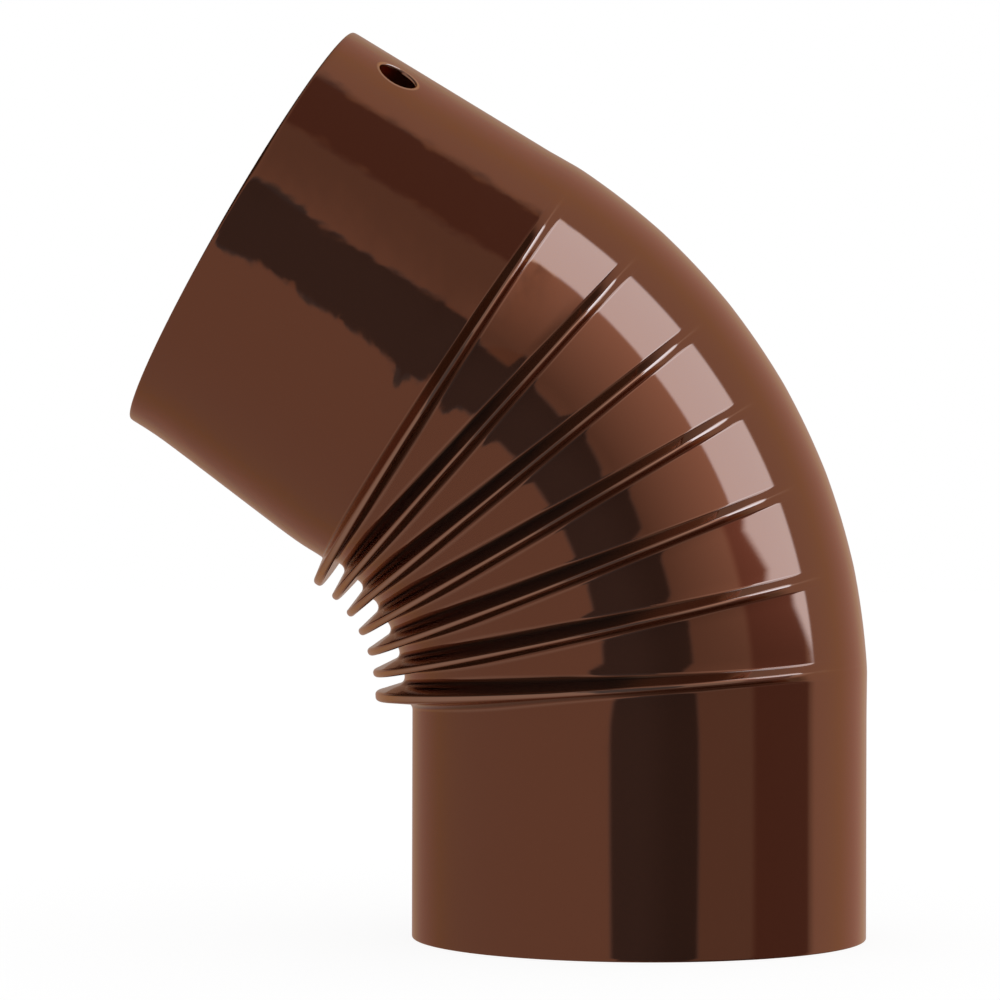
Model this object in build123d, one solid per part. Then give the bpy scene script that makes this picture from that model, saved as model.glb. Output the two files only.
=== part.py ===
"""Sixty degree stovepipe elbow, folded from one enamelled steel tube.

The tube is not cut or welded: the bend is made by thin folds of its own sheet. Each fold
lies in a plane through the bend axis, stands highest at the throat and runs out to
nothing at the back. The wide lower end is the socket, and the narrow upper end is the
spigot that enters the next pipe's socket.

Between the folds the tube stays straight and round, so the back of the bend is a row of
short straight lengths that meet at the folds' planes. A fold is lofted from the cut end
of one length, over a circle at its tip, to the cut end of the next. The bore is made the
same way, set in by the wall, so each fold is a hairpin of sheet with a slot inside.

Millimetres and degrees. The origin is the centre of the socket's rim, +Z runs up into
the elbow, and the bend turns towards -X about an axis parallel to Y.
"""

import os
from math import cos, radians, sin

from build123d import *

# Tube and bend
socket_diameter = 120.0     # outside
wall = 0.9                  # sheet with the enamel on both faces
fit_clearance = 0.1         # radial, between a spigot and the socket that it enters
bend_angle = 60.0
bend_radius = 106.4         # bend axis to the socket's axis
throat_swell = 1.7          # how far the bend's throat stands in from the socket's

# Straight ends, measured from the radial planes at 0 and at the bend angle
socket_length = 63.0
spigot_length = 61.5
spigot_land = 11.0          # round and parallel, at the mouth
spigot_shift = 2.3          # spigot's axis, further from the bend axis than the socket's
collar_length = 24.2        # from the mouth to the far end of the stretch with the hole
collar_swell = 2.1          # how far that end stands out at the throat
neck_swell = 1.2            # how far the neck stands out at the throat, at the last fold

# Folds
fold_count = 7
fold_margin = 3.4           # from each straight end's square to the fold next to it
fold_height = 8.1           # at the throat
fold_gap = 0.4              # between the two sheets at a fold's tip
fold_lean = 0.8             # how much further out each side of a fold is at its foot

# Hanging hole near the spigot's mouth
hole_diameter = 10.8
hole_from_mouth = 17.6
hole_turn = 25.0            # from the back of the elbow round towards -Y

overrun = 5.0               # of the bore's cutter past the rims

# What follows from those
spigot_diameter = socket_diameter - 2 * (wall + fit_clearance)
spigot_centre = bend_radius + spigot_shift
spigot_throat = spigot_centre - spigot_diameter / 2
spigot_back = spigot_centre + spigot_diameter / 2
socket_throat = bend_radius - socket_diameter / 2
socket_back = bend_radius + socket_diameter / 2

fold_pitch = (bend_angle - 2 * fold_margin) / (fold_count - 1)
fold_tip = wall + fold_gap / 2
fold_foot = fold_tip + fold_lean
last_fold = bend_angle - fold_margin
bend_throat = socket_throat - throat_swell
crease_back = socket_back / cos(radians(fold_margin))
bend_back = crease_back * cos(radians(fold_pitch / 2))


def radial_plane(angle):
    """Plane through the bend axis: x points outwards and z along the duct."""
    turn = radians(angle)
    return Plane(
        origin=(-bend_radius, 0, socket_length),
        x_dir=(cos(turn), 0, sin(turn)),
        z_dir=(-sin(turn), 0, cos(turn)),
    )


def ring(angle, along, throat, back, inset):
    """Circle from throat to back, parallel to a radial plane and set in from the outer skin."""
    radius = (back - throat) / 2 - inset
    return radial_plane(angle).offset(along) * Pos((throat + back) / 2, 0) * Circle(radius)


def straight(angle, throat, back, inset, below, above):
    """Straight round length of duct, square to a radial plane and cut off by two others."""
    radius = (back - throat) / 2 - inset
    rod = radial_plane(angle) * Pos((throat + back) / 2, 0) * Cylinder(radius, 4 * socket_length)
    return split(split(rod, below, Keep.TOP), above, Keep.BOTTOM)


def spigot(inset, extra):
    """Neck, collar and land, from the last fold's foot to the mouth."""
    foot = fold_foot - inset
    collar = spigot_length - collar_length
    land = spigot_length - spigot_land
    rings = [
        ring(last_fold, foot, bend_throat - neck_swell, crease_back, inset),
        ring(bend_angle, collar, spigot_throat - collar_swell, spigot_back, inset),
        ring(bend_angle, land, spigot_throat, spigot_back, inset),
        ring(bend_angle, spigot_length + extra, spigot_throat, spigot_back, inset),
    ]
    return loft(rings, ruled=True)


def fold(angle, inset, below, above):
    """One fold, from the end of the length below it to the start of the length above it."""
    plane = radial_plane(angle)
    upwards = Axis(plane.origin, plane.z_dir)
    start = below.faces().sort_by(upwards)[-1]
    end = above.faces().sort_by(upwards)[0]
    throat = bend_throat - fold_height
    sides = [0] if inset else [-fold_tip, fold_tip]
    tips = [ring(angle, side, throat, crease_back, inset) for side in sides]
    return loft([start, *tips, end], ruled=True)


def duct(inset, extra):
    """Solid of the whole duct, set in from the outer skin and run past the rims."""
    foot = fold_foot - inset
    angles = [fold_margin + number * fold_pitch for number in range(fold_count)]
    rim = radial_plane(0).offset(-socket_length - extra)
    first_foot = radial_plane(fold_margin).offset(-foot)
    lengths = [straight(0, socket_throat, socket_back, inset, rim, first_foot)]
    for angle in angles[:-1]:
        below = radial_plane(angle).offset(foot)
        above = radial_plane(angle + fold_pitch).offset(-foot)
        middle = angle + fold_pitch / 2
        lengths.append(straight(middle, bend_throat, bend_back, inset, below, above))
    lengths.append(spigot(inset, extra))
    folds = [
        fold(angle, inset, below, above)
        for angle, below, above in zip(angles, lengths, lengths[1:])
    ]
    return Part() + lengths + folds


def hanging_hole():
    """Cutter for the hole through the spigot's wall, square to its surface."""
    turn = radians(hole_turn)
    mouth = radial_plane(bend_angle)
    centre = mouth.from_local_coords((spigot_centre, 0, spigot_length - hole_from_mouth))
    outwards = mouth.from_local_coords((cos(turn), -sin(turn), 0)) - mouth.origin
    return Plane(origin=centre, z_dir=outwards) * extrude(Circle(hole_diameter / 2), spigot_diameter)


def make_elbow():
    """The folded tube, open at both ends, with its hanging hole."""
    return duct(0, 0) - duct(wall, overrun) - hanging_hole()


elbow = make_elbow()
elbow.label = "elbow"

os.makedirs("parts", exist_ok=True)
export_step(elbow, "parts/elbow.step")
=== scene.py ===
"""Brown enamelled stovepipe elbow, as it stands in a studio on its wider end.

The elbow is one tube of sheet steel, folded seven times on the inside of its bend and
fired with a glossy brown enamel. One fold is modelled as a stack of circles, copied round
the bend, and run out into the straight socket and spigot. This skin then gets the hole by
which the elbow was hung, the sheet's thickness and its rounded rims.
"""

from functools import partial
from math import acos, atan2, cos, hypot, pi, radians, sin, tan

import bmesh
import bpy
from bpy.props import FloatProperty, FloatVectorProperty, IntProperty, PointerProperty
from bpy.types import Operator, Panel, PropertyGroup
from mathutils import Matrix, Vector


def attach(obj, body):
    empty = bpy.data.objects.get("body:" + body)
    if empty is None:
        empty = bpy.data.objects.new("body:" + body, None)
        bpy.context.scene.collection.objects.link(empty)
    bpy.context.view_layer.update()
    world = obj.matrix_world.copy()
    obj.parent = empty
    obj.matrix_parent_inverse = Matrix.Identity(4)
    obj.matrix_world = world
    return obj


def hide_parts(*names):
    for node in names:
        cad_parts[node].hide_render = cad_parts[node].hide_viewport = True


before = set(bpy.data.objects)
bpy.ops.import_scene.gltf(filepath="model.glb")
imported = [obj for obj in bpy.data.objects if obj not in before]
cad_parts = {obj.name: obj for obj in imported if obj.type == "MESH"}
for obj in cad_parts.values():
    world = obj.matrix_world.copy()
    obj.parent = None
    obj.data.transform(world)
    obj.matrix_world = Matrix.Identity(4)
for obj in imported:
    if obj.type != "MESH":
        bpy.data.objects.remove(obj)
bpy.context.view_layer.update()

bl_info = {
    "name": "Stovepipe elbow",
    "version": (1, 0, 0),
    "blender": (4, 5, 0),
    "location": "View3D > Sidebar > Elbow",
    "description": "Builds an enamelled stovepipe elbow and the studio that it stands in",
    "category": "Add Mesh",
}

MILLIMETRE = 0.001

# What the mesh notes at each point while it is built; the material reads the first of them
PAINTED_LIGHT = "painted_light"  # painted light: -1 for a painted highlight over the fold tips and round the hole, 0 as usual, 1 for painted shade on the folds' sides and in their hollows
SHEET = "sheet"  # share of its thickness that the sheet keeps
AROUND = "around"  # angle round the tube from the throat


# Sizes and colours that a user would change


def length(name, millimetres, description):
    """A length setting, given in millimetres."""
    return FloatProperty(
        name=name,
        description=description,
        default=millimetres * MILLIMETRE,
        precision=5,
        subtype="DISTANCE",
        unit="LENGTH",
    )


def angle(name, degrees, description):
    """An angle setting, given in degrees."""
    return FloatProperty(
        name=name,
        description=description,
        default=radians(degrees),
        subtype="ANGLE",
    )


def colour(name, value, description):
    """A colour setting, as linear red, green and blue."""
    return FloatVectorProperty(
        name=name,
        description=description,
        default=value,
        size=3,
        min=0,
        subtype="COLOR",
    )


def amount(name, value, description):
    """A plain number setting."""
    return FloatProperty(name=name, description=description, default=value, precision=3)


class ElbowTube(PropertyGroup):
    """The tube and its two straight ends."""

    wall: length("Wall", 0.9, "Sheet with the enamel on both faces")
    socket_radius: length("Socket radius", 60.0, "Outside of the lower end")
    spigot_radius: length("Spigot radius", 59.0, "Outside of the upper end")
    bend_angle: angle("Bend", 60, "Turn from the socket to the spigot")
    bend_radius: length("Bend radius", 106.4, "Bend axis to the socket's axis")
    socket_length: length("Socket length", 63.0, "Rim to the start of the bend")
    spigot_length: length("Spigot length", 61.5, "End of the bend to the mouth")
    spigot_shift: length("Spigot shift", 2.3, "Spigot's axis, further out than the socket's")
    throat_swell: length("Throat swell", 1.7, "How far the bend's throat stands in")
    neck_swell: length("Neck swell", 1.2, "How much further the neck stands in at the last fold")
    rim_round: length("Rim rounding", 0.38, "Round of the enamel on the edges of the sheet")
    sides: IntProperty(name="Sides", description="Edges round the tube", default=180, min=36)


class ElbowFolds(PropertyGroup):
    """The seven folds."""

    count: IntProperty(name="Folds", description="Number of folds", default=7, min=1)
    margin: angle("Margin", 3.4, "From each straight end's square to the fold next to it")
    height: length("Height", 8.1, "Height of a fold at the throat")
    throat_width: length("Throat width", 6.5, "Width of a fold at the throat, over its feet")
    tip_radius: length("Tip radius", 1.1, "Round at a fold's tip at the throat")
    foot_radius: length("Foot radius", 2.0, "Round at a fold's foot at the throat")
    opening_start: angle("Opening from", 12, "Where a fold starts to open, from the throat")
    opening_end: angle("Opening to", 80, "Where a fold has become a ridge, from the throat")
    ridge_width: length("Ridge width", 4.9, "Width of the ridge")
    ridge_radius: length("Ridge radius", 0.65, "Round at the ridge's top")
    ridge_foot: length("Ridge foot radius", 0.8, "Round at the ridge's foot")
    belly: length("Belly", 1.5, "How much wider each side is where its foot is softest")
    belly_at: angle("Belly at", 55, "Where that is, round from the throat")
    thinning: amount("Thinning", 0.72, "Share of its thickness that the sheet loses at a tip")
    # Painted shade: the height of a fold at which the painted shade in its hollows is full
    full_shade_height: length("Full pool", 6.0, "Height of a fold at which the enamel pools fully")
    droop: length("Droop", 1.2, "How far a fold's tip hangs down the duct at the throat")
    socket_foot: length("Socket foot", 2.4, "How much wider the first fold's lower side is")
    neck_foot: length("Neck foot", -1.2, "How much wider the last fold's upper side is")
    fade_start: angle("Fade from", 124, "Where a ridge starts to die away, from the throat")
    fade_end: angle("Fade to", 146, "Where it has gone")
    bulge: amount("Bulge", 0.85, "How nearly the backs between the creases lie on one circle")


class ElbowHole(PropertyGroup):
    """The hanging hole."""

    radius: length("Radius", 5.4, "Half of the hole's width")
    from_mouth: length("From mouth", 17.6, "Mouth to the hole's centre")
    turn: angle("Turn", 25, "From the back of the elbow round to the viewer")
    bead_width: length("Bead width", 0.9, "Width of the enamel bead round the hole")
    bead_height: length("Bead height", 0.14, "Height of the enamel bead round the hole")


class ElbowEnamel(PropertyGroup):
    """The finish, with its painted shade and painted highlight."""

    plain: colour("Enamel", (0.25, 0.075, 0.033), "Brown of the enamel")
    # Painted shade: the dark brown painted on the folds' sides and in their hollows
    painted_shade: colour("Pooled enamel", (0.03, 0.016, 0.012), "Its colour where it has run thick")
    # Painted highlight: the lighter brown painted over the fold tips, by the end of each foot and
    # round the hole
    painted_highlight: colour("Thin enamel", (0.52, 0.26, 0.17), "Its colour over the tips of the folds")


class ElbowStage(PropertyGroup):
    """The camera and the softbox."""

    lens: amount("Lens", 144.0, "Focal length in millimetres on a 36 mm sensor")
    distance: amount("Distance", 1.059, "Camera to the plane of the bend, in metres")
    aim_x: amount("Aim across", -0.03695, "Point in the middle of the picture, in metres")
    aim_z: amount("Aim up", 0.11548, "Point in the middle of the picture, in metres")
    roll: angle("Roll", -0.14, "Turn of the camera about its own axis")
    softbox: colour("Softbox", (1.9, 3.4, 5.2), "Its light, bluish as the enamel reddens it")


# Shape of a fold

TIP_STEPS = 7  # points of a fold's section on the round of its tip
FOOT_STEPS = 6  # and on the round of its foot
STEPS_TO_MIDDLE = 3  # rings from there to the middle of the straight length beside it
SHADE_POWER = 3  # how steeply the painted shade grows with a fold's height
SIDE_SHADE_SHARE = 0.45  # share of the painted shade that a fold's lower side and the last fold's upper side get
THIN_ABOVE = 0.5  # share of its height above which a fold's sheet is fully thinned
BELLY_START, BELLY_END = 0.3, 2.2  # ends of the belly, as shares of the angle of its middle
LOW_SLOPE = radians(35)  # slope of a side below which the section's points are spread out

# Painted light at each point of the section, from the tip to the foot: below 0 a painted
# highlight, above 0 painted shade
STEP_PAINTED_LIGHT = (-0.8, -0.7, -0.4, 0, 0.3, 0.7, 0.9, 1, 1, 1, 0.8, -0.35, 0)


class Ring:
    """A circle of the tube, parallel to a plane through the bend axis and some way from it."""

    def __init__(self, tube, turn, along, throat, back):
        axis = Vector((-tube.bend_radius, 0, tube.socket_length))
        self.turn = turn
        self.outwards = Vector((cos(turn), 0, sin(turn)))
        self.upwards = Vector((-sin(turn), 0, cos(turn)))
        self.radius = (back - throat) / 2
        self.centre = axis + self.outwards * (throat + back) / 2 + self.upwards * along

    def at(self, around):
        """Point at an angle round from the throat."""
        spoke = Vector((0, sin(around), 0)) - self.outwards * cos(around)
        return self.centre + spoke * self.radius

    def skin(self, around):
        """That point, with plain enamel and the sheet's full thickness."""
        return self.at(around), 0.0, 1.0


class Side:
    """One side of a fold, between its tip and the middle of the straight length beside it.

    The fold's plane lies at the angle turn round the bend axis. The way is 1 for its upper
    side and -1 for its lower one. The lean is the angle from that plane to the middle of
    the straight length, whose lines are its throat's and its back's distance from the bend
    axis. The extra foot is how much wider than usual the side is at the throat.
    """

    def __init__(self, tube, folds, turn, way, lean, lines, extra_foot=0.0):
        self.tube = tube
        self.folds = folds
        self.turn = turn
        self.way = way
        self.lean = lean
        self.lines = lines
        self.extra_foot = extra_foot
        self.tip = Ring(tube, turn, 0, tip_throat(tube, folds), crease_back(tube, folds))
        self.base = self.ring(0)

    def ring(self, along, swing=0.0):
        """Ring of the straight length, some way from the fold's plane.

        The swing turns it by a share of the way to the middle of the straight length. The
        back stands out a little, so that the backs of the lengths follow one curve.
        """
        lean = self.lean * (1 - swing)
        throat, back = (line / cos(lean) - along * tan(lean) for line in self.lines)
        crease = crease_back(self.tube, self.folds)
        back += ((crease * crease - along * along) ** 0.5 - back) * self.folds.bulge
        turn = self.turn + self.way * self.lean * swing
        return Ring(self.tube, turn, self.way * along, throat, back)

    def spot(self, around, step):
        """The fold's skin at an angle round from the throat, some steps down from the tip.

        It gives the point, the painted light there and the share of its thickness that the sheet
        keeps, which is small over the tip.
        """
        strength = fold_strength(self.folds, around)
        rise = self.tip.at(around) - self.base.at(around)
        height = rise.length * strength
        along, lift = fold_section(self.folds, around, height, self.extra_foot)[step]
        level = height if step < TIP_STEPS else lift
        droop = self.folds.droop * (level / self.folds.height) ** 2
        down = Vector((sin(self.turn), 0, -cos(self.turn)))
        point = self.ring(along).at(around) + rise.normalized() * lift + down * droop

        thinned = min(1.0, (TIP_STEPS + FOOT_STEPS - 1 - step) / FOOT_STEPS)
        kept = 1 - thinned * min(1.0, strength / THIN_ABOVE) * self.folds.thinning
        return point, self.painted_light(step, height, strength), kept

    def painted_light(self, step, height, strength):
        """Painted light, some steps down from the tip.

        A painted highlight over the tip and by the end of the foot fades with the fold. Painted
        shade on the fold's side and in its foot grows steeply with the fold's height, and is
        weaker on a lower side and on the last fold's narrow upper side.
        """
        painted_light = STEP_PAINTED_LIGHT[step]
        if painted_light <= 0:
            return painted_light * strength
        painted_light *= min(1.0, height / self.folds.full_shade_height) ** SHADE_POWER
        lighter_side = self.way < 0 or self.extra_foot < 0
        return painted_light * SIDE_SHADE_SHARE if lighter_side else painted_light

    def middle_spot(self, around, share):
        """The skin between the fold's foot and the middle of the straight length."""
        along = fold_section(self.folds, around, 0, self.extra_foot)[-1][0] * (1 - share)
        return self.ring(along, share).skin(around)

    def loops(self):
        """The fold's side as functions of the angle round the tube, tip first."""
        return [partial(self.spot, step=step) for step in range(TIP_STEPS + FOOT_STEPS)]

    def loops_to_middle(self):
        """The straight length from the fold's foot to its middle, in the same form."""
        shares = [step / STEPS_TO_MIDDLE for step in range(1, STEPS_TO_MIDDLE + 1)]
        return [partial(self.middle_spot, share=share) for share in shares]


def between(start, end, share):
    """Number part of the way from one to another."""
    return start + (end - start) * share


def ease(value, low, high):
    """0 below low and 1 above high, with a smooth change between them."""
    share = min(1.0, max(0.0, (value - low) / (high - low)))
    return share * share * (3 - 2 * share)


def fold_strength(folds, around):
    """Share of its height that a fold keeps: it dies away before it gets to the back."""
    return 1 - ease(abs(around), folds.fade_start, folds.fade_end)


def belly_share(folds, around):
    """How full the belly of a fold's sides is, at an angle round from the throat."""
    start, end = BELLY_START * folds.belly_at, BELLY_END * folds.belly_at
    filling = ease(abs(around), start, folds.belly_at)
    return filling * (1 - ease(abs(around), folds.belly_at, end))


def fold_section(folds, around, height, extra_foot=0.0):
    """A fold's section from tip to foot, as (distance from its plane, lift) pairs.

    It is two arcs and a straight side that touches both: upright at the throat, where the
    fold is a hairpin of sheet, and sloping further round, where the fold is a ridge.
    """
    opened = ease(abs(around), folds.opening_start, folds.opening_end)
    belly = folds.belly * belly_share(folds, around) if extra_foot >= 0 else 0
    half = between(folds.throat_width, folds.ridge_width, opened) / 2 + belly
    half += extra_foot * (1 - opened)
    tip = between(folds.tip_radius, folds.ridge_radius, opened)
    foot = between(folds.foot_radius, folds.ridge_foot, opened) + belly
    foot += min(0, extra_foot) * (1 - opened)
    reach = hypot(half, tip + foot - height)
    slope = atan2(half, tip + foot - height) - acos(min(1.0, (tip + foot) / reach))
    tips = [slope * step / (TIP_STEPS - 1) for step in range(TIP_STEPS)]
    feet = [slope * (1 - step / (FOOT_STEPS - 1)) for step in range(FOOT_STEPS)]
    section = [(tip * sin(t), height - tip * (1 - cos(t))) for t in tips]
    section += [(half - foot * sin(t), foot * (1 - cos(t))) for t in feet]
    if slope >= LOW_SLOPE:
        return section
    return spread_out(section, height, half, tip, foot, slope)


def spread_out(section, height, half, tip, foot, slope):
    """The section of a low fold with its points further apart, on the same outline."""
    spread = []
    for step, (along, _) in enumerate(section):
        even = half * step / (len(section) - 1)
        along = between(even, along, slope / LOW_SLOPE)
        if along < tip * sin(slope):
            lift = height - tip + (tip * tip - along * along) ** 0.5
        elif along < half - foot * sin(slope):
            lift = height - tip * (1 - cos(slope)) - (along - tip * sin(slope)) * tan(slope)
        else:
            lift = foot - (foot * foot - (half - along) ** 2) ** 0.5
        spread.append((along, lift))
    return spread


def fold_pitch(tube, folds):
    """Angle from one fold to the next."""
    return (tube.bend_angle - 2 * folds.margin) / (folds.count - 1)


def bend_throat(tube):
    """Bend axis to the inside of the bend, between two folds."""
    return tube.bend_radius - tube.socket_radius - tube.throat_swell


def tip_throat(tube, folds):
    """Bend axis to a fold's tip at the throat."""
    return bend_throat(tube) - folds.height


def crease_back(tube, folds):
    """Bend axis to the crease at which two straight lengths meet at the back."""
    return (tube.bend_radius + tube.socket_radius) / cos(folds.margin)


# Shape of the straight ends

# Rings in millimetres down and up from the bend, and then in millimetres from the mouth
# with how far each is drawn in
SOCKET_RINGS = (4.0, 9.0, 20.0, 34.0, 48.0, 60.0)
NECK_RINGS = (1.2, 3, 5, 7.5, 10, 13, 17, 21, 26, 31)
MOUTH_RINGS = (
    (8.0, 0),
    (5.0, 0),
    (2.5, 0),
    (1.4, 0),
    (0.9, 0.03),
    (0.5, 0.1),
    (0, 0.3),
)

# The spigot's throat comes in between these shares of its length, and starts and stops as
# softly as these lengths in metres say
NECK_END, NECK_SOFTNESS = 0.1, 0.004
COLLAR_END, COLLAR_SOFTNESS = 0.885, 0.005

# The square patch that the hole opens, in faces each way, and the rings that close it in:
# how far out in bead widths, how high in bead heights, and the painted light there, which below 0
# is a painted highlight round the hole
HOLE_PATCH = 7
HOLE_RINGS = ((1.5, 0, 0), (1.1, 0, 0), (0.8, 0.25, -0.9), (0.55, 0.7, -1), (0, 1, -1))


def ramp(distance, softness):
    """Nothing below 0 and the distance above it, with the corner between them rounded."""
    return (distance + (distance * distance + softness * softness) ** 0.5) / 2


def spigot_lines(tube, along):
    """Throat's and back's distance from the bend axis, some way up the spigot."""
    axis = tube.bend_radius + tube.spigot_shift
    throat = bend_throat(tube) - tube.neck_swell
    opening = axis - tube.spigot_radius - throat
    start, end = NECK_END * tube.spigot_length, COLLAR_END * tube.spigot_length
    rise = ramp(along - start, NECK_SOFTNESS) - ramp(along - end, COLLAR_SOFTNESS)
    back = tube.bend_radius + tube.socket_radius
    widening = axis + tube.spigot_radius - back
    return throat + opening * rise / (end - start), back + widening * along / tube.spigot_length


def spigot_ring(tube, along, drawn_in=0.0):
    """Ring of the spigot, some way up from the bend."""
    throat, back = spigot_lines(tube, along)
    return Ring(tube, tube.bend_angle, along, throat + drawn_in, back - drawn_in)


def spigot_rings(tube, hole):
    """Rings of the spigot from the bend up to the mouth, evenly spaced beside the hole."""
    step = 2 * pi / tube.sides * tube.spigot_radius
    centre = tube.spigot_length - hole.from_mouth
    alongs = [along * MILLIMETRE for along in NECK_RINGS]
    alongs += [centre + step * (number - HOLE_PATCH / 2) for number in range(HOLE_PATCH + 1)]
    rings = [spigot_ring(tube, along) for along in alongs]
    for down, drawn_in in MOUTH_RINGS:
        along = tube.spigot_length - down * MILLIMETRE
        rings.append(spigot_ring(tube, along, drawn_in * MILLIMETRE))
    return rings


class HolePlace:
    """Where the hanging hole is, and the directions there."""

    def __init__(self, tube, hole):
        self.tube = tube
        self.along = tube.spigot_length - hole.from_mouth
        self.ring = spigot_ring(tube, self.along)
        self.outwards = self.ring.outwards
        self.upwards = self.ring.upwards
        self.normal = self.outwards * cos(hole.turn) - Vector((0, sin(hole.turn), 0))
        self.sideways = self.upwards.cross(self.normal)
        self.centre = self.ring.centre + self.normal * self.ring.radius

    def on_spigot(self, point):
        """A point's turn round the spigot from its back, and its distance up from the hole."""
        offset = point - self.ring.centre
        return atan2(-offset.y, offset.dot(self.outwards)), offset.dot(self.upwards)

    def on_surface(self, across, up, lift):
        """Point this far across and up from the hole's centre, and above the surface."""
        ring = spigot_ring(self.tube, self.along + up)
        depth = (ring.radius * ring.radius - across * across) ** 0.5
        radial = self.sideways * across + self.normal * depth
        return ring.centre + radial * (1 + lift / ring.radius)

    def round_off(self, radius, lift, thickness):
        """Puts the selected ring of points evenly round the hole, with this much painted light;
        below 0 it is a painted highlight.
        """
        mesh = bmesh.from_edit_mesh(bpy.context.object.data)
        painted_light = mesh.verts.layers.float[PAINTED_LIGHT]

        def bearing(vertex):
            offset = vertex.co - self.centre
            return atan2(offset.dot(self.upwards), offset.dot(self.sideways))

        points = sorted((v for v in mesh.verts if v.select), key=bearing)
        for number, point in enumerate(points):
            turn = 2 * pi * (number + 0.5) / len(points) - pi
            point.co = self.on_surface(radius * cos(turn), radius * sin(turn), lift)
            point[painted_light] = thickness
        bmesh.update_edit_mesh(bpy.context.object.data)


# Work on the mesh

MERGE_WITHIN = 0.01 * MILLIMETRE
RIM_SEGMENTS = 4
SMOOTH_BELOW = radians(50)  # edges that turn by more than this are shaded sharp


def start_clean():
    """Object mode with nothing selected."""
    if bpy.context.object and bpy.context.object.mode != "OBJECT":
        bpy.ops.object.mode_set(mode="OBJECT")
    bpy.ops.object.select_all(action="DESELECT")


def select_open_edge(lowest):
    """Selects the lowest or the highest open edge of the mesh being edited."""
    bpy.ops.mesh.select_mode(type="EDGE")
    bpy.ops.mesh.select_all(action="DESELECT")
    mesh = bmesh.from_edit_mesh(bpy.context.object.data)
    edges = [edge for edge in mesh.edges if edge.is_boundary]
    edges.sort(key=lambda edge: min(point.co.z for point in edge.verts))
    start = edges[0] if lowest else edges[-1]
    start.select_set(True)
    found = [start]
    for edge in found:
        for point in edge.verts:
            for other in point.link_edges:
                if other.is_boundary and not other.select:
                    other.select_set(True)
                    found.append(other)
    bmesh.update_edit_mesh(bpy.context.object.data)


def carry_ring(old, new):
    """Moves, turns and resizes the selected ring to where another one belongs."""
    scale = new.radius / old.radius
    centre = new.centre
    bpy.ops.transform.translate(value=centre - old.centre)
    bpy.ops.transform.rotate(value=new.turn - old.turn, orient_axis="Y", center_override=centre)
    bpy.ops.transform.resize(value=(scale, scale, scale), center_override=centre)


def extrude_through(rings):
    """Extrudes the selected first ring through the others in turn."""
    for old, new in zip(rings, rings[1:]):
        bpy.ops.mesh.extrude_edges_move()
        carry_ring(old, new)


def mark_around(ring):
    """Gives each point of the first ring its angle from the throat, which its copies keep."""
    mesh = bmesh.from_edit_mesh(bpy.context.object.data)
    for name in (PAINTED_LIGHT, SHEET, AROUND):
        mesh.verts.layers.float.new(name)
    around = mesh.verts.layers.float[AROUND]
    for point in mesh.verts:
        offset = point.co - ring.centre
        point[around] = atan2(offset.y, -offset.dot(ring.outwards))


def put_on(loop):
    """Puts the selected points on a loop, and notes the painted light and the sheet's thickness.
    """
    mesh = bmesh.from_edit_mesh(bpy.context.object.data)
    layers = mesh.verts.layers.float
    around, painted_light, sheet = layers[AROUND], layers[PAINTED_LIGHT], layers[SHEET]
    for point in mesh.verts:
        if point.select:
            point.co, point[painted_light], point[sheet] = loop(point[around])
    bmesh.update_edit_mesh(bpy.context.object.data)


def extrude_over(loops):
    """Extrudes the selected points over loops in turn."""
    for loop in loops:
        bpy.ops.mesh.extrude_edges_move()
        put_on(loop)


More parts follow.
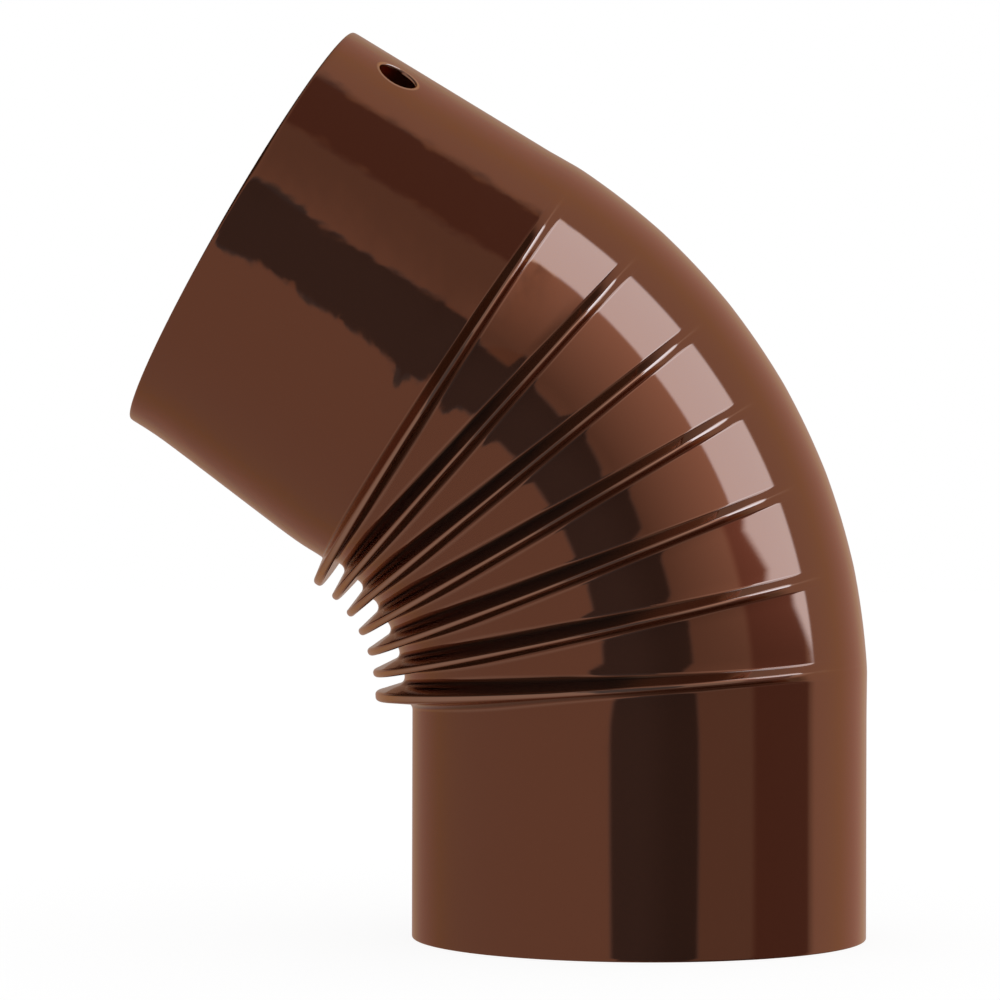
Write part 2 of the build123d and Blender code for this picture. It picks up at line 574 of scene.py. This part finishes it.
class ELBOW_OT_tube(Operator):
    """Build the folded tube: one fold, its copies, the straight ends, the hole and the wall"""

    bl_idname = "elbow.tube"
    bl_label = "Folded tube"

    def execute(self, context):
        scene = context.scene
        tube, folds, hole = scene.elbow_tube, scene.elbow_folds, scene.elbow_hole
        elbow = self.make_fold(tube, folds)
        self.copy_fold(tube, folds)
        self.add_socket(tube, folds)
        self.add_spigot(tube, folds, hole)
        bpy.ops.mesh.select_all(action="SELECT")
        bpy.ops.mesh.normals_make_consistent(inside=False)
        self.cut_hole(tube, hole)
        bpy.ops.object.mode_set(mode="OBJECT")
        self.thicken(elbow, tube)
        self.round_rims(elbow, tube)
        self.finish(elbow, scene.elbow_enamel)
        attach(elbow, "root")
        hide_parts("elbow")
        return {"FINISHED"}

    def make_fold(self, tube, folds):
        """The skin from the first fold's tip to the second one's, in edit mode."""
        pitch = fold_pitch(tube, folds)
        lines = bend_throat(tube), crease_back(tube, folds) * cos(pitch / 2)
        above = Side(tube, folds, folds.margin, 1, pitch / 2, lines)
        below = Side(tube, folds, folds.margin + pitch, -1, pitch / 2, lines)
        upwards = above.loops() + above.loops_to_middle()
        downwards = below.loops() + below.loops_to_middle()[:-1]
        loops = upwards + downwards[::-1]

        start_clean()
        bpy.ops.mesh.primitive_circle_add(
            vertices=tube.sides,
            radius=above.tip.radius,
            fill_type="NOTHING",
            location=above.tip.centre,
            rotation=(0, -above.tip.turn, 0),
        )
        elbow = bpy.context.object
        elbow.name = "enamelled_tube"
        bpy.ops.object.transform_apply(location=True, rotation=True, scale=True)
        bpy.ops.object.mode_set(mode="EDIT")
        bpy.ops.mesh.select_mode(type="EDGE")
        bpy.ops.mesh.select_all(action="SELECT")
        mark_around(above.tip)
        put_on(loops[0])
        extrude_over(loops[1:])
        return elbow

    def copy_fold(self, tube, folds):
        """Copies that skin round the bend, up to the last fold's tip."""
        copies = folds.count - 2
        bpy.ops.mesh.select_all(action="SELECT")
        bpy.ops.mesh.spin(
            steps=copies,
            dupli=True,
            angle=fold_pitch(tube, folds) * copies,
            center=(-tube.bend_radius, 0, tube.socket_length),
            axis=(0, 1, 0),
        )
        bpy.ops.mesh.select_all(action="SELECT")
        bpy.ops.mesh.remove_doubles(threshold=MERGE_WITHIN)

    def add_socket(self, tube, folds):
        """The first fold's lower side and the socket, down to its rim."""
        lines = tube.bend_radius - tube.socket_radius, tube.bend_radius + tube.socket_radius
        side = Side(tube, folds, folds.margin, -1, folds.margin, lines, folds.socket_foot)
        alongs = [-down * MILLIMETRE for down in SOCKET_RINGS]
        alongs += [-tube.socket_length + MILLIMETRE, -tube.socket_length]
        rings = [Ring(tube, 0, along, *lines) for along in alongs]
        select_open_edge(lowest=True)
        extrude_over(side.loops()[1:] + [rings[0].skin])
        extrude_through(rings)

    def add_spigot(self, tube, folds, hole):
        """The last fold's upper side and the spigot, up to its mouth."""
        turn = tube.bend_angle - folds.margin
        lines = bend_throat(tube) - tube.neck_swell, tube.bend_radius + tube.socket_radius
        side = Side(tube, folds, turn, 1, folds.margin, lines, folds.neck_foot)
        rings = spigot_rings(tube, hole)
        select_open_edge(lowest=False)
        extrude_over(side.loops()[1:] + [rings[0].skin])
        extrude_through(rings)

    def cut_hole(self, tube, hole):
        """Opens a square patch of the spigot and closes it in to a round hole with a bead."""
        place = HolePlace(tube, hole)
        across = pi / tube.sides * HOLE_PATCH
        along = across * tube.spigot_radius
        bpy.ops.mesh.select_mode(type="FACE")
        bpy.ops.mesh.select_all(action="DESELECT")
        mesh = bmesh.from_edit_mesh(bpy.context.object.data)
        for face in mesh.faces:
            turn, rise = place.on_spigot(face.calc_center_median())
            face.select_set(abs(turn - hole.turn) < across and abs(rise) < along)
        bmesh.update_edit_mesh(bpy.context.object.data)
        bpy.ops.mesh.delete(type="FACE")

        bpy.ops.mesh.select_mode(type="EDGE")
        bpy.ops.mesh.select_all(action="DESELECT")
        mesh = bmesh.from_edit_mesh(bpy.context.object.data)
        for edge in mesh.edges:
            near = (edge.verts[0].co - place.centre).length < 2 * along
            edge.select_set(edge.is_boundary and near)
        bmesh.update_edit_mesh(bpy.context.object.data)
        # The last number of each ring is painted light: below 0, a painted highlight round the
        # hole
        for out, lift, thickness in HOLE_RINGS:
            bpy.ops.mesh.extrude_edges_move()
            radius = hole.radius + out * hole.bead_width
            place.round_off(radius, lift * hole.bead_height, thickness)

    def thicken(self, elbow, tube):
        """Gives the skin its wall, inwards, and its rims the second material slot."""
        group = elbow.vertex_groups.new(name=SHEET)
        for number, share in enumerate(elbow.data.attributes[SHEET].data):
            group.add([number], share.value, "REPLACE")
        wall = elbow.modifiers.new("wall", "SOLIDIFY")
        wall.vertex_group = group.name
        wall.thickness = tube.wall
        wall.offset = -1
        wall.use_even_offset = True
        wall.material_offset_rim = 1
        elbow.data.materials.append(None)
        elbow.data.materials.append(None)
        bpy.ops.object.modifier_apply(modifier=wall.name)

    def round_rims(self, elbow, tube):
        """Rounds both edges of each rim, which the second material slot picks out."""
        bpy.ops.object.mode_set(mode="EDIT")
        bpy.ops.mesh.select_mode(type="FACE")
        bpy.ops.mesh.select_all(action="DESELECT")
        elbow.active_material_index = 1
        bpy.ops.object.material_slot_select()
        bpy.ops.mesh.region_to_loop()
        bpy.ops.mesh.bevel(offset=tube.rim_round, segments=RIM_SEGMENTS, affect="EDGES")
        bpy.ops.object.mode_set(mode="OBJECT")

    def finish(self, elbow, enamel):
        """Clears what was only needed to build the mesh, and gives it its enamel."""
        elbow.data.materials.clear()
        elbow.data.polygons.foreach_set("material_index", [0] * len(elbow.data.polygons))
        elbow.vertex_groups.clear()
        for name in (AROUND, SHEET):
            elbow.data.attributes.remove(elbow.data.attributes[name])
        bpy.ops.object.shade_smooth_by_angle(angle=SMOOTH_BELOW)
        elbow.data.materials.append(enamel_material(enamel))


# Shader nodes


class Value:
    """A number socket that Python arithmetic joins up with Math nodes."""

    def __init__(self, nodes, socket):
        self.nodes = nodes
        self.socket = socket

    def __add__(self, other):
        return self.nodes.math("ADD", self, other)

    def __sub__(self, other):
        return self.nodes.math("SUBTRACT", self, other)

    def __mul__(self, other):
        return self.nodes.math("MULTIPLY", self, other)

    def __rsub__(self, other):
        return self.nodes.math("SUBTRACT", other, self)

    __radd__ = __add__
    __rmul__ = __mul__


class Nodes:
    """Builds one node tree."""

    def __init__(self, tree):
        self.tree = tree
        tree.nodes.clear()

    def add(self, kind, output=0, **sockets):
        """Adds a node, fills the sockets named, with _ for each space, and gives one output."""
        node = self.tree.nodes.new(kind)
        for name, value in sockets.items():
            self.fill(node.inputs[name.replace("_", " ")], value)
        return Value(self, node.outputs[output]) if node.outputs else node

    def fill(self, socket, value):
        """Links a socket to a value, or sets it to a number or a colour."""
        if isinstance(value, Value):
            self.tree.links.new(value.socket, socket)
        else:
            socket.default_value = value

    def fill_in_order(self, node, *values):
        """Fills a node's first sockets."""
        for socket, value in zip(node.inputs, values):
            self.fill(socket, value)

    def math(self, operation, *values):
        """Number that a Math node works out."""
        node = self.tree.nodes.new("ShaderNodeMath")
        node.operation = operation
        self.fill_in_order(node, *values)
        return Value(self, node.outputs[0])

    def smooth(self, value, low, high, start=0.0, end=1.0):
        """Goes smoothly from start to end as the value goes from low to high."""
        node = self.tree.nodes.new("ShaderNodeMapRange")
        node.interpolation_type = "SMOOTHSTEP"
        self.fill_in_order(node, value, low, high, start, end)
        return Value(self, node.outputs[0])

    def dot(self, vector, axis):
        """How far a vector reaches along an axis."""
        node = self.tree.nodes.new("ShaderNodeVectorMath")
        node.operation = "DOT_PRODUCT"
        self.fill_in_order(node, vector, axis)
        return Value(self, node.outputs["Value"])

    def split(self, vector):
        """A vector's three numbers."""
        node = self.tree.nodes.new("ShaderNodeSeparateXYZ")
        self.fill_in_order(node, vector)
        return [Value(self, output) for output in node.outputs]

    def mix(self, factor, start, end):
        """Colour between two others."""
        node = self.tree.nodes.new("ShaderNodeMix")
        node.data_type = "RGBA"
        colours = [socket for socket in node.inputs if socket.type == "RGBA"]
        for socket, value in zip((node.inputs[0], *colours), (factor, start, end)):
            self.fill(socket, value)
        return Value(self, node.outputs["Result"])

    def mix_shader(self, factor, start, end):
        """Shader between two others."""
        node = self.tree.nodes.new("ShaderNodeMixShader")
        self.fill_in_order(node, factor, start, end)
        return Value(self, node.outputs[0])

    def noise(self, scale, detail):
        """Soft noise from 0 to 1, with this many lumps in a metre."""
        place = self.add("ShaderNodeTexCoord", output="Object")
        return self.add("ShaderNodeTexNoise", Vector=place, Scale=scale, Detail=detail)

    def bump(self, height, distance, **under):
        """Surface that the height raises by up to this distance in metres."""
        return self.add("ShaderNodeBump", Height=height, Distance=distance, Strength=1.0, **under)

    def attribute(self, name):
        """Number that the mesh notes at each point."""
        node = self.tree.nodes.new("ShaderNodeAttribute")
        node.attribute_name = name
        return Value(self, node.outputs["Fac"])


def opaque(colour):
    """A colour with full alpha."""
    return (*colour, 1.0)


def material(name):
    """A new material and the builder of its nodes."""
    made = bpy.data.materials.new(name)
    made.use_nodes = True
    return made, Nodes(made.node_tree)


# Enamel

SPIGOT_AXIS = (-0.866, 0, 0.5)
SAGS_START, SAGS_FULL = 0.100, 0.118  # metres along that axis from the origin
WAVE_HEIGHT = 0.00015  # in metres
PEEL_HEIGHT = 0.0000015
SAG_SHARE = 3.0  # height of the sags, as a multiple of the waves'
METALLIC, METALLIC_LOSS = 0.9, 0.6  # and how much of it full painted shade takes away
COAT, COAT_LOSS = 0.5, 0.2  # the clear face, in the same way
GRAZING_TINT = (1.0, 0.5, 0.15, 1)  # of what it reflects at a flat angle


def enamel_material(enamel):
    """Glossy brown enamel: deep brown with a metallic depth, under a clear glassy face.

    Its face has long waves, sags on the spigot and a fine peel. Painted shade makes it dark on
    the folds' sides and in their hollows and hides the metallic depth there; a painted highlight
    makes it lighter over the fold tips and round the hole.
    """
    made, nodes = material("brown_enamel")
    place = nodes.add("ShaderNodeTexCoord", output="Object")
    on_spigot = nodes.smooth(nodes.dot(place, SPIGOT_AXIS), SAGS_START, SAGS_FULL)
    waves = nodes.noise(scale=24, detail=0)
    sags = nodes.noise(scale=60, detail=2.5) * on_spigot
    wavy = nodes.bump(waves + sags * SAG_SHARE, WAVE_HEIGHT)
    peel = nodes.noise(scale=900, detail=1)
    face = nodes.bump(peel, PEEL_HEIGHT, Normal=wavy)

    # Painted light from the mesh: painted shade darkens the brown and dulls the metal and the
    # clear face, a painted highlight lightens the brown
    painted_light = nodes.attribute(PAINTED_LIGHT)
    shade = nodes.mix(painted_light, opaque(enamel.plain), opaque(enamel.painted_shade))
    shade = nodes.mix(painted_light * -1, shade, opaque(enamel.painted_highlight))
    shade_depth = nodes.math("MAXIMUM", painted_light, 0)
    shader = nodes.add(
        "ShaderNodeBsdfPrincipled",
        Base_Color=shade,
        Metallic=METALLIC - shade_depth * METALLIC_LOSS,
        Roughness=0.06,
        Coat_Weight=COAT - shade_depth * COAT_LOSS,
        Coat_Roughness=0.04,
        Specular_Tint=GRAZING_TINT,
        Normal=face,
    )
    nodes.add("ShaderNodeOutputMaterial", Surface=shader)
    return made


# Studio

WHITE = (1, 1, 1, 1)
PLAIN_GREY = (0.5, 0.5, 0.5, 1)
DEGREES = 180 / pi
SENSOR_WIDTH = 36.0  # of the camera, in millimetres
CAMERA_REACH = 20.0  # in metres, like the floor's size
FLOOR_SIZE = 8.0
FLOOR_PAINT = (0.8, 0.8, 0.8, 1)
FLOOR_GLOW = 1.27
FLOOR_WHITENESS = 0.7  # share of the glow in what the camera sees of the floor


class Studio:
    """The room by direction, as the enamel reflects it, as node values.

    A direction is told by two angles in degrees and one number: away, from the direction
    towards the camera; turn, round the line of sight, from the right upwards; and x, how
    far to the right it points. A pair of numbers is where a change starts and where it is
    complete, and a pair of pairs is a stretch that fades in and out like that. A level is a
    share of white.
    """

    # Walls
    grey = 0.4
    front_end = (91, 98)
    near_right = (-0.05, 0.3)
    near_right_loss = 0.12
    far_right = (-0.1, 0.5)
    far_right_gain = 0.17
    beside = (26, 44), (140, 160)
    above_left = (86, 104), (150, 172)
    above_left_loss = 0.9
    underneath = (-110, -85), (-45, -20)
    underneath_loss = 0.6

    # Softbox, and the light that it throws on the walls
    box_away = (64.5, 66.5), (96, 98)
    box_top = (55.5, 58.5)
    box_right = (0, 0.1)
    box_foot = 6.8
    box_foot_at = 89
    box_foot_tilt = 0.47
    spill = (-4, 22), (51, 58)
    spill_from = 20
    spill_gain = 0.0125

    # Dark reddish frame above and below the softbox
    frame_away = (55, 60), (90.5, 93)
    frame_right = (0.1, 0.3)
    frame_loss = 0.36
    frame_redness = 0.25

    # Bluish dark side round the camera: how far away its edge is on the right and on the
    # left, and over which turns that changes by how much, counted from the right upwards
    # and from the left downwards
    dark_right = 28
    dark_right_changes = ((0, 10), -6), ((8, 44), -9), ((54, 58), 10)
    dark_left = 24
    dark_left_changes = ((2, 12), -7), ((46, 57), 7)
    dark_middle = (-0.02, 0.02)
    dark_loss = 0.79
    dark_green = 0.35
    dark_blue = 0.8

    # Warm backdrop behind the elbow
    backdrop = (150, 170)
    backdrop_green = 0.25
    backdrop_blue = 0.36

    sharp_edge = (-1.5, 1.5)

    def __init__(self, nodes):
        self.nodes = nodes
        self.x, y, z = nodes.split(nodes.add("ShaderNodeTexCoord", output="Generated"))
        self.away = nodes.math("ARCCOSINE", y * -1) * DEGREES
        self.turn = nodes.math("ARCTAN2", z, self.x) * DEGREES
        self.front = nodes.smooth(self.away, *self.front_end, 1, 0)

    def stretch(self, value, fade_in, fade_out):
        """1 between the fades, and 0 outside them."""
        return self.nodes.smooth(value, *fade_in) * self.nodes.smooth(value, *fade_out, 1, 0)

    def walls(self):
        """Level of the walls: darker above on the left and below, lighter on the far right."""
        smooth = self.nodes.smooth
        level = self.grey - smooth(self.x, *self.near_right) * self.front * self.near_right_loss
        far = smooth(self.x, *self.far_right) * (1 - self.front)
        level = level + far * self.far_right_gain
        above = self.stretch(self.turn, *self.above_left) * self.above_left_loss
        below = self.stretch(self.turn, *self.underneath) * self.underneath_loss
        return level * (1 - self.stretch(self.away, *self.beside) * (above + below))

    def box_turn(self):
        """1 in the turns that the softbox takes up; its foot slants."""
        foot = self.box_foot + (self.box_foot_at - self.away) * self.box_foot_tilt
        over_foot = self.nodes.smooth(self.turn - foot, *self.sharp_edge)
        return over_foot * self.nodes.smooth(self.turn, *self.box_top, 1, 0)

    def box_spill(self):
        """Level that the softbox adds to the walls on the near side of it."""
        gain = self.nodes.math("MAXIMUM", (self.away - self.spill_from) * self.spill_gain, 0)
        return self.stretch(self.turn, *self.spill) * self.front * gain

    def frame(self, box_turn):
        """1 on the dark frame above and below the softbox."""
        right = self.nodes.smooth(self.x, *self.frame_right)
        return self.stretch(self.away, *self.frame_away) * right * (1 - box_turn)

    def dark_side(self):
        """1 on the dark side round the camera, and 0 past its uneven edge."""
        right, left = self.dark_right, self.dark_left
        for fade, change in self.dark_right_changes:
            right = self.nodes.smooth(self.turn, *fade) * change + right
        for fade, change in self.dark_left_changes:
            left = self.nodes.smooth(self.turn + 180, *fade) * change + left
        edge = left + self.nodes.smooth(self.x, *self.dark_middle) * (right - left)
        return self.nodes.smooth(edge - self.away, *self.sharp_edge)

    def colour(self, box_light):
        """What the enamel sees in this direction."""
        nodes = self.nodes
        box_turn = self.box_turn()
        frame = self.frame(box_turn)
        dark = self.dark_side()
        level = self.walls() + self.box_spill()
        level = level * (1 - frame * self.frame_loss) * (1 - dark * self.dark_loss)
        backdrop = nodes.smooth(self.away, *self.backdrop)
        less_red = level * (1 - frame * self.frame_redness)
        green = less_red * (1 + dark * self.dark_green - backdrop * self.backdrop_green)
        blue = less_red * (1 + dark * self.dark_blue - backdrop * self.backdrop_blue)
        room = nodes.add("ShaderNodeCombineColor", Red=level, Green=green, Blue=blue)
        box = box_turn * self.stretch(self.away, *self.box_away)
        box = box * nodes.smooth(self.x, *self.box_right)
        return nodes.mix(box, room, opaque(box_light))


def studio_world(stage):
    """White to the camera, an even grey light on matt faces, and to the enamel a studio."""
    world = bpy.data.worlds.new("studio")
    world.use_nodes = True
    world.cycles.sampling_method = "NONE"
    nodes = Nodes(world.node_tree)
    diffuse = nodes.add("ShaderNodeLightPath", output="Is Diffuse Ray")
    camera = nodes.add("ShaderNodeLightPath", output="Is Camera Ray")
    seen = nodes.mix(diffuse, Studio(nodes).colour(stage.softbox), PLAIN_GREY)
    seen = nodes.mix(camera, seen, WHITE)
    background = nodes.add("ShaderNodeBackground", Color=seen, Strength=1.0)
    nodes.add("ShaderNodeOutputWorld", Surface=background)
    return world


def floor_material():
    """Pale floor that the camera sees as white, with the object's shadow on it.

    From below it is clear, so that the elbow's underside can be seen.
    """
    made, nodes = material("pale_floor")
    camera = nodes.add("ShaderNodeLightPath", output="Is Camera Ray")
    paint = nodes.add("ShaderNodeBsdfDiffuse", Color=FLOOR_PAINT)
    glow = nodes.add("ShaderNodeEmission", Color=WHITE, Strength=FLOOR_GLOW)
    clear = nodes.add("ShaderNodeBsdfTransparent")
    below = nodes.add("ShaderNodeNewGeometry", output="Backfacing")
    white = nodes.mix_shader(camera * FLOOR_WHITENESS, paint, glow)
    floor = nodes.mix_shader(below, white, clear)
    nodes.add("ShaderNodeOutputMaterial", Surface=floor)
    return made


class ELBOW_OT_stage(Operator):
    """Set up the camera, the floor and the light"""

    bl_idname = "elbow.stage"
    bl_label = "Stage"

    def execute(self, context):
        scene = context.scene
        stage = scene.elbow_stage
        scene.view_settings.view_transform = "Standard"
        start_clean()
        bpy.ops.object.camera_add(
            location=(stage.aim_x, -stage.distance, stage.aim_z),
            rotation=(pi / 2, stage.roll, 0),
        )
        camera = context.object
        camera.data.lens = stage.lens
        camera.data.sensor_width = SENSOR_WIDTH
        camera.data.clip_end = CAMERA_REACH
        scene.camera = camera
        scene.world = studio_world(stage)

        bpy.ops.mesh.primitive_plane_add(size=FLOOR_SIZE, location=(0, 0, 0))
        floor = context.object
        floor.name = "floor"
        floor.visible_glossy = False
        floor.data.materials.append(floor_material())
        return {"FINISHED"}


class ELBOW_PT_sidebar(Panel):
    """Lists the steps that build the elbow"""

    bl_idname = "ELBOW_PT_sidebar"
    bl_label = "Stovepipe elbow"
    bl_space_type = "VIEW_3D"
    bl_region_type = "UI"
    bl_category = "Elbow"

    def draw(self, context):
        for step in STEPS:
            self.layout.operator(step.bl_idname)


STEPS = (ELBOW_OT_tube, ELBOW_OT_stage)
SETTINGS = {
    "elbow_tube": ElbowTube,
    "elbow_folds": ElbowFolds,
    "elbow_hole": ElbowHole,
    "elbow_enamel": ElbowEnamel,
    "elbow_stage": ElbowStage,
}
CLASSES = (*SETTINGS.values(), *STEPS, ELBOW_PT_sidebar)


def register():
    """Adds the classes and the scene's settings."""
    for cls in CLASSES:
        bpy.utils.register_class(cls)
    for name, group in SETTINGS.items():
        setattr(bpy.types.Scene, name, PointerProperty(type=group))


def unregister():
    """Takes them away again."""
    for name in SETTINGS:
        delattr(bpy.types.Scene, name)
    for cls in reversed(CLASSES):
        bpy.utils.unregister_class(cls)


def main():
    """Builds the elbow and its stage."""
    register()
    bpy.ops.elbow.tube()
    bpy.ops.elbow.stage()


if __name__ == "__main__":
    main()
